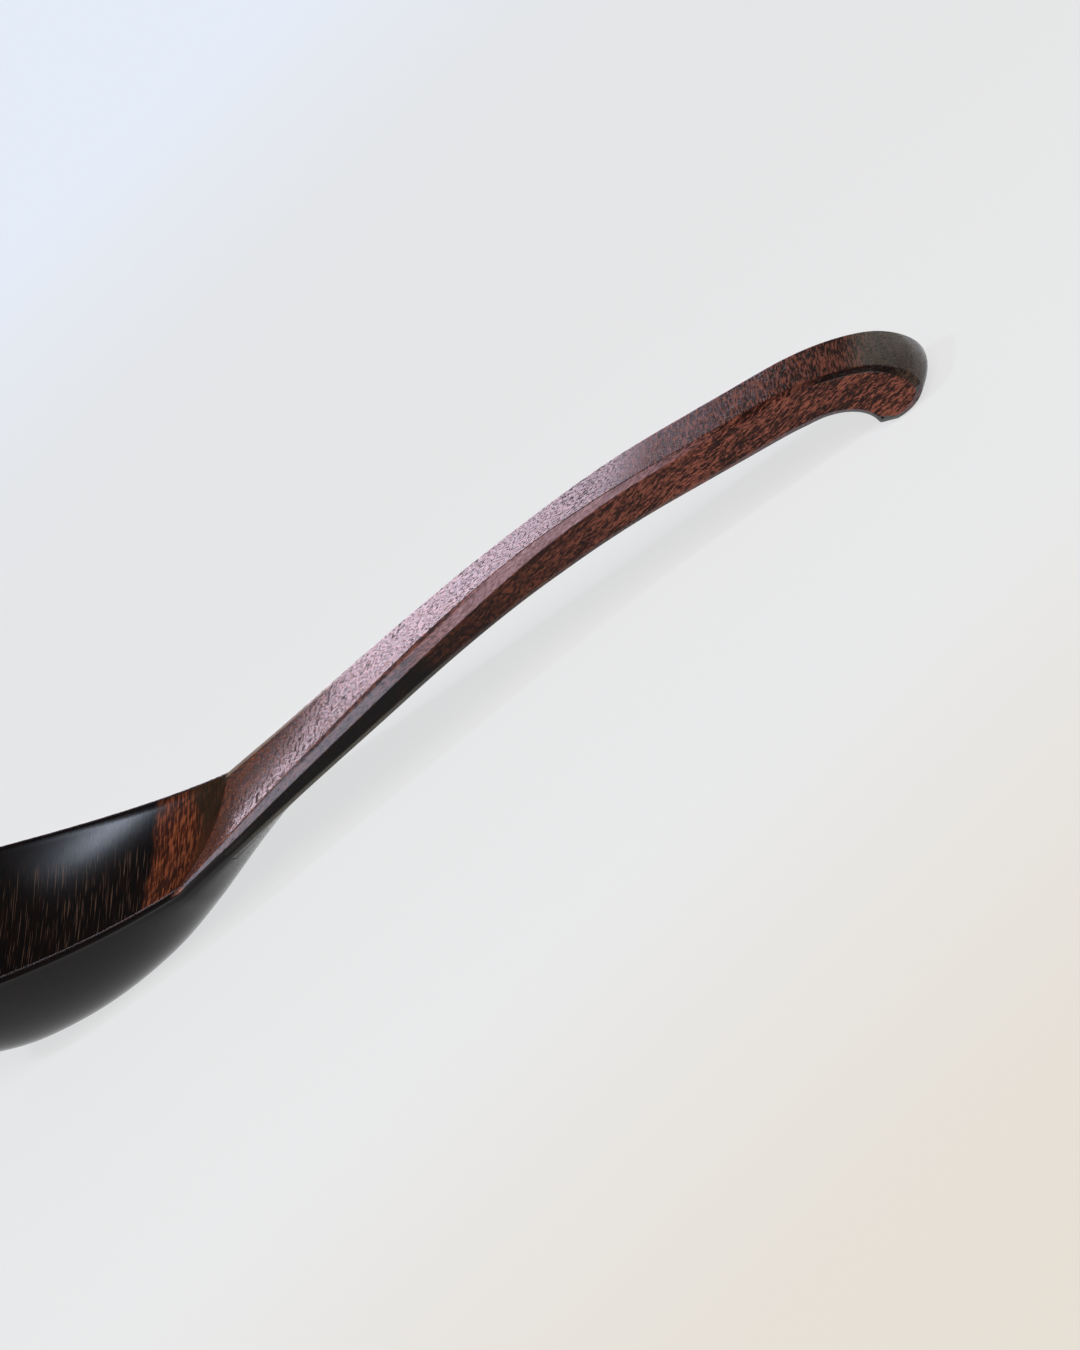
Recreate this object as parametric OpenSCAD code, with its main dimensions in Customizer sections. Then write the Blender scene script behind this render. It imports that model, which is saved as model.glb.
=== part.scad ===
// Soup spoon with a hooked handle, carved from one blank of dark hardwood.
// It is drawn along its blank in millimetres: x runs from the lip to the nose, y across and z up,
// with the crease between hollow and handle at x = 0. Then it is laid down to rest, on the flat
// under its belly and on the lip of its hook.

/* [Bowl] */
// Length of the bowl from the crease to the lip
bowl_length = 66; // [55:1:80]
// Greatest width of the bowl
bowl_width = 43.4; // [38:0.2:52]
// Distance from the crease to the greatest width
widest_at = 41; // [32:1:46]
// Height of the lip over the crease, along the blank
lip_rise = 13; // [8:0.5:16]
// How late the rim sweeps up to the lip
rim_power = 1.7; // [1.4:0.1:2.2]
// Distance from the crease to the lowest point of the bowl
belly_at = 29; // [24:1:34]
// Depth of the hollow below the crease
hollow_depth = 10.5; // [8:0.5:13]
// Thickness of wood under the lowest point of the hollow
belly_wall = 3.5; // [2.5:0.1:5]
// Rounding of the rim's outer edge
rim_round = 0.35; // [0.2:0.05:0.5]
// Width of the flat land along the rim and the neck
rim_land = 0.9; // [0.6:0.1:1.5]
// Depth of wood shaved off the belly for the flat that the spoon rests on
foot_cut = 0.6; // [0.3:0.1:1]

/* [Neck] */
// Width across the crease
crease_width = 32.6; // [26:0.2:36]
// Length over which the neck narrows to the handle
flare_length = 66; // [50:1:72]
// How fast the neck narrows at the crease
flare_power = 1.35; // [1.2:0.05:1.6]
// Thickness of the edge at the crease
neck_thick = 3.2; // [2.8:0.1:4.5]
// Slope of the top face at the crease, in degrees
neck_angle = 13; // [8:1:18]
// Widest chamfer along the neck
neck_chamfer = 1.7; // [1:0.1:1.9]
// Distance from the crease to the widest chamfer
chamfer_at = 44; // [30:1:46]
// How far the crease bows towards the handle
crease_bow = 1.7; // [0.8:0.1:3]
// Depth of the dished top face at the crease
dish_depth = 0.75; // [0.3:0.05:1.2]
// Length of the dished part of the top face
dish_length = 36; // [24:1:50]

/* [Handle] */
// Length from the crease to the nose
handle_length = 119; // [108:1:135]
// Width of the straight part
handle_width = 12.6; // [10.5:0.1:15]
// Thickness of the straight part
handle_thick = 5.4; // [4.8:0.1:7]
// Distance from the crease to the crown of the arch
crown_at = 84; // [74:1:92]
// Height of the crown over the crease, along the blank
crown_rise = 15; // [12:0.5:18]
// Chamfer along the straight edges
edge_chamfer = 0.7; // [0.4:0.05:1]

/* [Hook] */
// Length of the rounded nose
nose_length = 19; // [16:0.5:22]
// Drop of the top face over the nose
nose_drop = 7.9; // [7:0.1:9]
// Distance from the tip of the hook's lip to the end of the nose
lip_reach = 7.6; // [6.5:0.1:9]
// Length of the notch behind the lip
notch_length = 7.4; // [6:0.1:9]
// Depth of the lip below the underside of the handle
lip_depth = 4.9; // [4:0.1:5.5]
// Length of the bevel under the lip
lip_bevel = 2.2; // [1.5:0.1:3]
// Height of the bevel under the lip
bevel_rise = 0.6; // [0.3:0.1:0.9]

/* [Hidden] */
wood_dark = [0.16, 0.09, 0.07];
wood_mid = [0.30, 0.17, 0.13];
wood_red = [0.36, 0.20, 0.15];

// Where the named solids meet along the blank
neck_joint = 8;
hook_joint = handle_length - nose_length;

// Powers that shape the bowl: inside, under the belly along it and across it, and round the lip
hollow_power = 2.2;
crease_power = 2;
belly_power = 2.6;
flank_power = 2.8;
lip_power = 2.2;
// Stretch of the blank over which the round belly turns into the flat underside of the handle
round_from = -12;
round_to = 40;
// Stretch over which the chamfer grows from the rim's rounding
pinch_length = 12;

// Number of steps: along the bowl and the neck, across, in the hollow, across the crease, round the hook
bowl_steps = 30;
tongue_steps = 4;
neck_steps = 24;
grip_steps = 14;
flank_steps = 11;
hollow_steps = 11;
crease_steps = 12;
heel_steps = 8;
notch_steps = 8;
under_steps = 2;
// The upper half of the hook's outline has as many steps as the lower one
nose_steps = heel_steps + notch_steps + under_steps + 1;

function smooth(u) = let (v = max(0, min(1, u))) v * v * (3 - 2 * v);
function mix(a, b, t) = a + (b - a) * t;
// A cubic from height a with slope sa to height b with slope sb, over a run, at fraction u of it
function cubic(a, sa, b, sb, run, u) = a * (1 - 3 * u * u + 2 * u * u * u)
    + sa * run * (u - 2 * u * u + u * u * u) + b * (3 * u * u - 2 * u * u * u)
    + sb * run * (u * u * u - u * u);

// Handle: height of the top face, half width, chamfer and underside at x along the blank
function nose_fall(x) = let (t = max(0, min(1, (x - hook_joint) / nose_length)))
    nose_drop * (1 - sqrt(1 - t * t));
function top_z(x) = cubic(0, tan(neck_angle), crown_rise, 0, crown_at, min(1, x / crown_at)) - nose_fall(x);
function top_slope(x) = (top_z(x + 0.05) - top_z(x - 0.05)) / 0.1;
function flare(x) = pow(max(0, 1 - max(0, x) / flare_length), flare_power);
function neck_half(x) = mix(handle_width, crease_width, flare(x)) / 2;
chamfer_run = min(2 * chamfer_at, hook_joint);
function full_chamfer(x) = mix(edge_chamfer, neck_chamfer,
    x < chamfer_run ? pow(sin(180 * x / chamfer_run), 2) : 0);
function chamfer(x) = x < 0 ? rim_round : mix(rim_round, full_chamfer(x), smooth(x / pinch_length));
function thick(x) = mix(neck_thick, handle_thick, max(0, min(1, x / flare_length)));
function under_z(x) = top_z(x) - thick(x);
function dish(x) = dish_depth * pow(max(0, 1 - x / dish_length), 2);

// Bowl: half width and height of the rim, d behind the crease
bowl_half = bowl_width / 2;
crease_half = crease_width / 2;
flare_rate = flare_power * (crease_width - handle_width) / 2 / flare_length;
waist_power = max(1.1, flare_rate * widest_at / (bowl_half - crease_half));
function front(d) = max(0, (d - widest_at) / (bowl_length - widest_at));
function rim_half(d) = d < widest_at
    ? mix(bowl_half, crease_half, pow(1 - d / widest_at, waist_power))
    : bowl_half * sqrt(max(0, 1 - pow(front(d), lip_power)));
function rim_z(d) = lip_rise * pow(d / bowl_length, rim_power);
// A point of the rim moved in by an inset: straight across behind the greatest width, scaled before it
function rim_point(d, inset) = d < widest_at
    ? [-d, rim_half(d) - inset, rim_z(d)]
    : [-mix(widest_at, bowl_length - inset, front(d)), rim_half(d) * (1 - inset / bowl_half), rim_z(d)];

// Edges at any x: the outer edge, the top of the chamfer and the inner side of the land
function half(x) = x < 0 ? rim_half(-x) : neck_half(x);
function edge_z(x) = (x < 0 ? rim_z(-x) : top_z(x)) - chamfer(x);
function chamfer_top(x) = x < 0 ? rim_point(-x, rim_round) : [x, neck_half(x) - chamfer(x), top_z(x)];
function land_edge(x) = x < 0 ? rim_point(-x, rim_round + rim_land)
    : [x, neck_half(x) - chamfer(x) - rim_land, top_z(x)];

// Underside: height of the keel line, from the lip over the belly into the neck
belly_z = -hollow_depth - belly_wall;
function keel_z(x) = x < -belly_at
    ? mix(belly_z, lip_rise - rim_round, pow((-belly_at - x) / (bowl_length - belly_at), belly_power))
    : cubic(belly_z, 0, under_z(round_to), top_slope(round_to), round_to + belly_at,
        min(1, (x + belly_at) / (round_to + belly_at)));

// One point of the lower section at x; j runs from flank_steps at the near edge to minus that at the far one
flat_steps = flank_steps - 3;
function round_low(x, j) = let (s = sin(90 * j / flank_steps), k = keel_z(x))
    [half(x) * s, mix(k, edge_z(x), pow(abs(s), flank_power))];
function square_low(x, j) = let (a = abs(j), w = half(x), b = under_z(max(0, x)))
    a == flank_steps ? [w * sign(j), edge_z(x)]
    : a == flank_steps - 1 ? [w * sign(j), mix(edge_z(x), b + edge_chamfer, 0.5)]
    : a == flank_steps - 2 ? [w * sign(j), b + edge_chamfer]
    : [(w - edge_chamfer) * j / flat_steps, b];
function low_point(x, j) = let (q = smooth((x - round_from) / (round_to - round_from)),
        p = mix(round_low(x, j), square_low(x, j), q))
    [x, p[0], p[1]];
function low_row(x) = [for (j = [flank_steps : -1 : -flank_steps]) low_point(x, j)];

// Top face between the lands, dished near the crease; s runs from -1 at the far side to 1
function top_point(x, s) = let (e = land_edge(x)) [x, e[1] * s, e[2] - dish(x) * (1 - s * s)];
function crease_x(s) = crease_bow * (1 - s * s);
function crease_s(i) = -1 + 2 * i / crease_steps;
// Middle of the section at x, where the flat faces of the joints are fanned from
function core(x) = [x, 0, (low_point(x, 0)[2] + top_point(x, 0)[2]) / 2];

// Hook: its outline in x and z, from the joint over the nose and the lip to the notch and back
nose_z = crown_rise - nose_drop;
lip_x = handle_length - lip_reach;
notch_from = lip_x - notch_length;
heel_x = lip_x + lip_bevel;
heel_z = under_z(notch_from) - lip_depth;
lip_z = heel_z + bevel_rise;
function crowd(i, n) = sin(90 * i / n);
hook_over = [for (i = [0 : nose_steps]) let (x = mix(hook_joint, handle_length, crowd(i, nose_steps)))
    [x, top_z(x)]];
hook_heel = [for (i = [1 : heel_steps]) let (a = 90 * i / heel_steps)
    [mix(heel_x, handle_length, cos(a)), mix(nose_z, heel_z, sin(a))]];
hook_notch = [for (i = [0 : notch_steps]) let (a = 90 * (1 - i / notch_steps))
    [mix(notch_from, lip_x, sin(a)), mix(lip_z, under_z(notch_from), cos(a))]];
hook_under = [for (i = [1 : under_steps]) let (x = mix(notch_from, hook_joint, i / under_steps))
    [x, under_z(x)]];
hook_outline = concat(hook_over, hook_heel, hook_notch, hook_under);

// Laying down: the line under the belly and the hook becomes the ground, foot_cut into the belly
keel = [for (i = [0 : 60]) let (x = mix(-bowl_length, 20, i / 60)) [x, low_point(x, 0)[2]]];
tilt = min([for (h = hook_heel) max([for (p = keel) atan2(h[1] - p[1] - foot_cut, h[0] - p[0])])]);
function tip_x(p) = p[0] * cos(tilt) + p[1] * sin(tilt);
function tip_z(p) = p[1] * cos(tilt) - p[0] * sin(tilt);
ground = min([for (h = hook_heel) tip_z(h)]);
lip_end = min([for (p = keel) tip_x(p)]);
nose_end = max([for (h = hook_outline) tip_x(h)]);
function lay(p) = let (q = [p[0], p[2]])
    [tip_x(q) - (lip_end + nose_end) / 2, p[1], max(0, tip_z(q) - ground)];
function lay_all(points) = [for (p = points) lay(p)];

function far(p) = [p[0], -p[1], p[2]];
// Two triangles for the four-cornered patch a, b, c, d
function patch(a, b, c, d) = [[a, b, c], [a, c, d]];

// Bowl: its stations run from the joint to the lip, with the last few close together
bowl_x = concat(
    [for (i = [tongue_steps : -1 : 1]) neck_joint * i / tongue_steps],
    [for (i = [0 : bowl_steps - 1]) -bowl_length * sin(90 * i / bowl_steps)]);
stations = len(bowl_x);
across = 2 * flank_steps + 1;
low_points = [for (x = bowl_x) each low_row(x)];
// Four edge points at each station: chamfer top and land edge, near and far
edge_points = [for (x = bowl_x) let (c = chamfer_top(x), e = land_edge(x)) each [c, e, far(e), far(c)]];
lip_points = [[-bowl_length, 0, lip_rise - rim_round], rim_point(bowl_length, rim_round),
    rim_point(bowl_length, rim_round + rim_land)];
// The dished tongue between the joint and the crease, then the crease itself as its last row
tongue_points = [for (r = [0 : tongue_steps], i = [1 : crease_steps - 1])
    let (s = crease_s(i)) top_point(mix(neck_joint, crease_x(s), r / tongue_steps), s)];

low_from = 0;
edge_from = low_from + len(low_points);
lip_from = edge_from + len(edge_points);
tongue_from = lip_from + len(lip_points);
hollow_from = tongue_from + len(tongue_points);
function low_at(k, j) = low_from + k * across + j;
function edge_at(k, e) = edge_from + 4 * k + e;
function tongue_at(r, i) = i == 0 ? edge_at(r, 2) : i == crease_steps ? edge_at(r, 1)
    : tongue_from + r * (crease_steps - 1) + i - 1;

// The mouth of the hollow: near rim to the lip, far rim back, and the crease
mouth = concat(
    [for (k = [tongue_steps : stations - 1]) edge_at(k, 1)],
    [lip_from + 2],
    [for (k = [stations - 1 : -1 : tongue_steps]) edge_at(k, 2)],
    [for (i = [1 : crease_steps - 1]) tongue_at(tongue_steps, i)]);
solid_points = concat(low_points, edge_points, lip_points, tongue_points);
hollow_points = [for (m = [hollow_steps - 1 : -1 : 1], v = mouth) let (
        p = solid_points[v],
        r = m / hollow_steps,
        g = pow(r, mix(crease_power, hollow_power, smooth(-p[0] / belly_at))))
    [mix(-belly_at, p[0], r), p[1] * r, mix(-hollow_depth, p[2], g)]];
deepest = hollow_from + len(hollow_points);
rings = len(mouth);
function ring_at(m, i) = let (k = i % rings) m == 0 ? mouth[k] : hollow_from + (m - 1) * rings + k;

last = stations - 1;
section_size = across + crease_steps + 3;
joint_loop = concat([for (j = [across - 1 : -1 : 0]) low_at(0, j)], [edge_at(0, 0)],
    [for (i = [crease_steps : -1 : 0]) tongue_at(0, i)], [edge_at(0, 3)]);
bowl_faces = concat(
    // Underside, and the fan that closes it at the lip
    [for (k = [0 : last - 1], j = [0 : across - 2])
        each patch(low_at(k, j), low_at(k, j + 1), low_at(k + 1, j + 1), low_at(k + 1, j))],
    [for (j = [0 : across - 2]) [low_at(last, j), low_at(last, j + 1), lip_from]],
    // Rounded edge and land, near side and far side
    [for (k = [0 : last - 1]) each concat(
        patch(low_at(k, 0), low_at(k + 1, 0), edge_at(k + 1, 0), edge_at(k, 0)),
        patch(edge_at(k, 0), edge_at(k + 1, 0), edge_at(k + 1, 1), edge_at(k, 1)),
        patch(edge_at(k, 2), edge_at(k + 1, 2), edge_at(k + 1, 3), edge_at(k, 3)),
        patch(edge_at(k, 3), edge_at(k + 1, 3), low_at(k + 1, across - 1), low_at(k, across - 1)))],
    patch(low_at(last, 0), lip_from, lip_from + 1, edge_at(last, 0)),
    patch(edge_at(last, 0), lip_from + 1, lip_from + 2, edge_at(last, 1)),
    patch(edge_at(last, 2), lip_from + 2, lip_from + 1, edge_at(last, 3)),
    patch(edge_at(last, 3), lip_from + 1, lip_from, low_at(last, across - 1)),
    // Dished tongue
    [for (r = [0 : tongue_steps - 1], i = [0 : crease_steps - 1])
        each patch(tongue_at(r, i), tongue_at(r, i + 1), tongue_at(r + 1, i + 1), tongue_at(r + 1, i))],
    // Hollow, and the fan at its lowest point
    [for (m = [0 : hollow_steps - 2], i = [0 : rings - 1])
        each patch(ring_at(m, i), ring_at(m, i + 1), ring_at(m + 1, i + 1), ring_at(m + 1, i))],
    [for (i = [0 : rings - 1]) [ring_at(hollow_steps - 1, i), ring_at(hollow_steps - 1, i + 1), deepest]],
    // Flat face at the joint with the handle
    [for (i = [0 : section_size - 1]) [joint_loop[i], joint_loop[(i + 1) % section_size], deepest + 1]]);

module bowl() {
    color(wood_dark)
        polyhedron(lay_all(concat(solid_points, hollow_points,
                [[-belly_at, 0, -hollow_depth], core(neck_joint)])),
            bowl_faces, convexity = 6);
}

// Handle: rings of the whole section, from the joint at the neck to the joint at the hook
handle_x = concat(
    [for (i = [0 : neck_steps - 1]) mix(neck_joint, flare_length, i / neck_steps)],
    [for (i = [0 : grip_steps]) mix(flare_length, hook_joint, i / grip_steps)]);
function section(x) = let (c = chamfer_top(x))
    concat(low_row(x), [far(c)], [for (i = [0 : crease_steps]) top_point(x, crease_s(i))], [c]);

module handle() {
    rows = len(handle_x);
    cores = rows * section_size;
    color(wood_mid)
        polyhedron(lay_all(concat([for (x = handle_x) each section(x)], [core(neck_joint), core(hook_joint)])),
            [for (i = [0 : section_size - 1]) let (n = (i + 1) % section_size) each concat(
                [[i, n, cores]],
                [for (a = [0 : section_size : cores - 2 * section_size])
                    each patch(a + n, a + i, a + section_size + i, a + section_size + n)],
                [[cores - section_size + n, cores - section_size + i, cores + 1]])],
            convexity = 6);
}

// Hook: its outline at four layers across, drawn in by the chamfer at the two sides
outline_size = len(hook_outline);
function unit(v) = v / norm(v);
function inward(i) = let (
        a = hook_outline[(i + outline_size - 1) % outline_size],
        b = hook_outline[i],
        c = hook_outline[(i + 1) % outline_size],
        u = unit(unit(b - a) + unit(c - b)))
    [u[1], -u[0]];
// At the joint the outline is drawn in straight up or down, so that it fits the handle's section
function drawn_in(i) = hook_outline[i] + edge_chamfer
    * (i == 0 ? [0, -1] : i == outline_size - 1 ? [0, 1] : inward(i));
function hook_layer(y, drawn) = [for (i = [0 : outline_size - 1])
    let (p = drawn ? drawn_in(i) : hook_outline[i]) [p[0], y, p[1]]];
// Triangles of one side, between the upper and the lower half of the outline
hook_side = concat(
    [for (i = [0 : nose_steps - 2]) each patch(i, i + 1, outline_size - 2 - i, outline_size - 1 - i)],
    [[nose_steps - 1, nose_steps, nose_steps + 1]]);

module rim_hook() {
    w = handle_width / 2;
    color(wood_red)
        polyhedron(lay_all(concat(hook_layer(-w, true), hook_layer(edge_chamfer - w, false),
                hook_layer(w - edge_chamfer, false), hook_layer(w, true))),
            concat(
                [for (f = hook_side) [f[2], f[1], f[0]]],
                [for (k = [0 : 2], i = [0 : outline_size - 1])
                    let (n = (i + 1) % outline_size, a = k * outline_size, b = a + outline_size)
                    each patch(a + i, a + n, b + n, b + i)],
                [for (f = hook_side) [for (v = f) v + 3 * outline_size]]),
            convexity = 6);
}

bowl();
handle();
rim_hook();
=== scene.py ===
# %% [markdown]
# # A wooden soup spoon with a hooked handle
# The real spoon is carved from one blank of dark, figured hardwood. It has a deep bowl, a crisp crease
# where the hollow meets the neck, a flared and arched handle, and a nose that hooks over a rim.
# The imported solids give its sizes. This lesson dresses them: the same rules are drawn again with finer
# steps and softened edges, and the wood, the light and the camera are added.

import math
from types import SimpleNamespace

import bmesh
import bpy
import numpy as np
from mathutils import Matrix, Quaternion, Vector


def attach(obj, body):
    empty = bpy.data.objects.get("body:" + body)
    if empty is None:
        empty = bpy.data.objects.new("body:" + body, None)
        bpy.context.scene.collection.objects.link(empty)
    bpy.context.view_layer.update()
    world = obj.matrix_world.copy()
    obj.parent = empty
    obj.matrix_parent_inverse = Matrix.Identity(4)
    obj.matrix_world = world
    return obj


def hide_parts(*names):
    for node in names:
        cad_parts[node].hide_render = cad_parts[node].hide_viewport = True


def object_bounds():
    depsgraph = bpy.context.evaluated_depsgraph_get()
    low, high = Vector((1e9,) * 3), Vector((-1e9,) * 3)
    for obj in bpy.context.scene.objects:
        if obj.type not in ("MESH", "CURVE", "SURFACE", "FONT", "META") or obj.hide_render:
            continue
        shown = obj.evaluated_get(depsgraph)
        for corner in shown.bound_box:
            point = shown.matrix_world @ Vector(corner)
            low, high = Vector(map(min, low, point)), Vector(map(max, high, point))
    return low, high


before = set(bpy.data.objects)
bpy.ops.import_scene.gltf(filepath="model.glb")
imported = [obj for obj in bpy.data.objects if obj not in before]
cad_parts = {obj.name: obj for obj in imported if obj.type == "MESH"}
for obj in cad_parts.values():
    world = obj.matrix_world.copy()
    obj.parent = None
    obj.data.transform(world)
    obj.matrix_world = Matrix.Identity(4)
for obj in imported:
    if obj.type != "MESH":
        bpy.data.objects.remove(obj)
cad_low, cad_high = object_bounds()
print("solids:", ", ".join(sorted(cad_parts)))

# %% [markdown]
# ## Sizes
# A carver marks out a blank with a few lengths and lets curves run between them. The same lengths are kept
# here, in millimetres along the blank: x runs from the lip to the nose, y across and z up, with the crease
# at x = 0. They repeat the solids' sizes, so the dressed spoon fits its solids.

# %% Sizes of the blank, in millimetres
MM = 0.001
SIZES = SimpleNamespace(
    bowl_length=66, bowl_width=43.4, widest_at=41, lip_rise=13, rim_power=1.7, belly_at=29,
    hollow_depth=10.5, belly_wall=3.5, rim_round=0.35, rim_land=0.9, foot_cut=0.6,
    crease_width=32.6, crease_bow=1.7, flare_length=66, flare_power=1.35,
    neck_thick=3.2, neck_slope=math.tan(math.radians(13)), neck_chamfer=1.7, neck_joint=8,
    chamfer_run=88, edge_chamfer=0.7, pinch_length=12, dish_depth=0.75, dish_length=36,
    handle_length=119, handle_width=12.6, handle_thick=5.4, crown_at=84, crown_rise=15,
    nose_length=19, nose_drop=7.9, lip_reach=7.6, notch_length=7.4, lip_depth=4.9,
    lip_bevel=2.2, bevel_rise=0.6, hollow_power=2.2, crease_power=2, belly_power=2.6,
    flank_power=2.8, lip_power=2.2, round_from=-12, round_to=40, soft=0.12)
SIZES.hook_joint = SIZES.handle_length - SIZES.nose_length
SIZES.belly_z = -SIZES.hollow_depth - SIZES.belly_wall
print("spoon along its blank: %.0f mm" % (SIZES.bowl_length + SIZES.handle_length))

# %% [markdown]
# ## Rules for the handle
# Each line of the handle is a rule of x: how high the top face runs, how wide and how thick the wood is, how
# broad the chamfer. The handle is later bent to shape by Geometry Nodes, and the bowl by plain arrays. So
# that both follow one rule, a rule is written once, and its numbers may be arrays or node sockets.


# %% Arithmetic that works on arrays and on node sockets
class Field:
    """A value that varies over a mesh: a socket of the tree, where arithmetic adds Math nodes."""

    tree = None

    def __init__(self, socket):
        self.socket = socket

    def __add__(self, other):
        return calc("ADD", self, other)

    def __sub__(self, other):
        return calc("SUBTRACT", self, other)

    def __mul__(self, other):
        return calc("MULTIPLY", self, other)

    def __truediv__(self, other):
        return calc("DIVIDE", self, other)

    def __pow__(self, other):
        return calc("POWER", self, other)

    def __rsub__(self, other):
        return calc("SUBTRACT", other, self)

    __radd__ = __add__
    __rmul__ = __mul__


def plug(socket, value):
    """Link a field to a socket, or set the socket to a number."""
    if isinstance(value, Field):
        Field.tree.links.new(value.socket, socket)
    else:
        socket.default_value = value


def calc(operation, *values):
    node = Field.tree.nodes.new("ShaderNodeMath")
    node.operation = operation
    for socket, value in zip(node.inputs, values):
        plug(socket, value)
    return Field(node.outputs[0])


def vector(*values):
    node = Field.tree.nodes.new("ShaderNodeCombineXYZ")
    for socket, value in zip(node.inputs, values):
        plug(socket, value)
    return Field(node.outputs[0])


def is_field(*values):
    return any(isinstance(value, Field) for value in values)


def least(a, b):
    return calc("MINIMUM", a, b) if is_field(a, b) else np.minimum(a, b)


def most(a, b):
    return calc("MAXIMUM", a, b) if is_field(a, b) else np.maximum(a, b)


def sine(a):
    return calc("SINE", a) if is_field(a) else np.sin(a)


def mix(a, b, t):
    return a + (b - a) * t


def smooth(u):
    v = least(most(u, 0), 1)
    return v * v * (3 - 2 * v)


def step(value, low, high):
    """0 up to the low value, 1 from the high value on, and a smooth rise between them."""
    return smooth((value - low) / (high - low))


def cubic(a, slope_a, b, slope_b, run, u):
    """Height at fraction u of a run, from height a with one slope to height b with another."""
    cube = u * u * u
    square = u * u
    rise = a + (b - a) * (3 * square - 2 * cube)
    return rise + (u - 2 * square + cube) * slope_a * run + (cube - square) * slope_b * run


print("a smooth rise, half way:", float(step(0.5, 0, 1)))


# %% Rules of the handle
def top_z(x, s):
    return cubic(0, s.neck_slope, s.crown_rise, 0, s.crown_at, least(x / s.crown_at, 1))


def neck_half(x, s):
    flare = most(1 - x / s.flare_length, 0) ** s.flare_power
    return mix(s.handle_width, s.crease_width, flare) * 0.5


def chamfer(x, s):
    bulge = sine(least(x / s.chamfer_run, 1) * math.pi)
    full = mix(s.edge_chamfer, s.neck_chamfer, bulge * bulge)
    return mix(s.rim_round, full, smooth(x / s.pinch_length))


def thick(x, s):
    return mix(s.neck_thick, s.handle_thick, least(x / s.flare_length, 1))


def dish(x, s):
    return s.dish_depth * most(1 - x / s.dish_length, 0) ** 2


def keel_z(x, s):
    """Lowest line of the neck while it is still round underneath."""
    run = s.round_to + s.belly_at
    return cubic(s.belly_z, 0, s.keel_end, s.keel_slope, run, least((x + s.belly_at) / run, 1))


def squareness(x, s):
    """0 where the underside is round like the belly, 1 where it is flat like the handle."""
    return step(x, s.round_from, s.round_to)


NUDGE = 0.05
SIZES.keel_end = float(top_z(SIZES.round_to, SIZES) - thick(SIZES.round_to, SIZES))
climb = top_z(SIZES.round_to + NUDGE, SIZES) - top_z(SIZES.round_to - NUDGE, SIZES)
SIZES.keel_slope = float(climb) / (2 * NUDGE)
print("keel meets the flat underside at z = %.2f mm" % SIZES.keel_end)

# %% [markdown]
# ## Laying the spoon down
# Put down, the spoon rests on the flat under its belly and on the lip of its hook. The line that touches
# both is the ground, so the blank is turned by its slope and moved until the ground is z = 0 and the
# bounding box is centred, as the solids are. The turn could be read off the solids, but worked out from
# the same sizes it stays right when one of them changes.


# %% From the blank to the ground
def nose_fall(x):
    t = np.clip((x - SIZES.hook_joint) / SIZES.nose_length, 0, 1)
    return SIZES.nose_drop * (1 - np.sqrt(1 - t * t))


def under_z(x):
    return top_z(x, SIZES) - nose_fall(x) - thick(x, SIZES)


def keel_line(x):
    """Lowest line of the whole spoon from the lip to the neck, on its middle plane."""
    before = np.maximum(-SIZES.belly_at - x, 0) / (SIZES.bowl_length - SIZES.belly_at)
    front = mix(SIZES.belly_z, SIZES.lip_rise - SIZES.rim_round, before**SIZES.belly_power)
    round_z = np.where(x < -SIZES.belly_at, front, keel_z(np.maximum(x, -SIZES.belly_at), SIZES))
    return mix(round_z, under_z(np.maximum(x, 0)), squareness(x, SIZES))


lip_x = SIZES.handle_length - SIZES.lip_reach
notch_from = lip_x - SIZES.notch_length
heel_x = lip_x + SIZES.lip_bevel
heel_z = under_z(notch_from) - SIZES.lip_depth
lip_z = heel_z + SIZES.bevel_rise
nose_z = SIZES.crown_rise - SIZES.nose_drop
HEEL_STEPS = 8
KEEL_TO, KEEL_POINTS = 20, 61


def heel_arc(turn):
    """Points of the round heel under the nose, at turns from its front end to its lowest point."""
    return np.c_[mix(heel_x, SIZES.handle_length, np.cos(turn)), mix(nose_z, heel_z, np.sin(turn))]


heel = heel_arc(np.radians(90 * np.arange(1, HEEL_STEPS + 1) / HEEL_STEPS))
keel_x = np.linspace(-SIZES.bowl_length, KEEL_TO, KEEL_POINTS)
keel = np.c_[keel_x, keel_line(keel_x)]
rise = heel[:, None, 1] - keel[None, :, 1] - SIZES.foot_cut
tilt = np.arctan2(rise, heel[:, None, 0] - keel[None, :, 0]).max(axis=1).min()
cos_tilt, sin_tilt = math.cos(tilt), math.sin(tilt)
TURN = np.array([[cos_tilt, 0, sin_tilt], [0, 1, 0], [-sin_tilt, 0, cos_tilt]])
ground = (heel[:, 1] * cos_tilt - heel[:, 0] * sin_tilt).min()
lip_end = (keel[:, 0] * cos_tilt + keel[:, 1] * sin_tilt).min()
box_length = 2 * cad_high.x / MM
SHIFT = np.array([-lip_end - box_length / 2, 0, -ground])


def lay(points):
    """Blank to ground, in metres; nothing goes below the ground, which leaves the flat under the belly."""
    laid = np.asarray(points, float) @ TURN.T + SHIFT
    laid[..., 2] = np.maximum(laid[..., 2], 0)
    return laid * MM


print("laid down by %.2f degrees" % math.degrees(tilt))

# %% [markdown]
# ## The section of the handle
# A section across the handle has a top face with a flat land along each edge, two chamfers, two upright sides
# and a flat underside; towards the bowl the underside swells into the round belly. Each point of the section
# is a set of weights on the sizes at x, so that one ring of weights serves every station. Corners are
# softened by a few points close to them, because a sanded edge is never sharp and a bevel that has a
# constant width keeps its highlight even.

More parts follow.
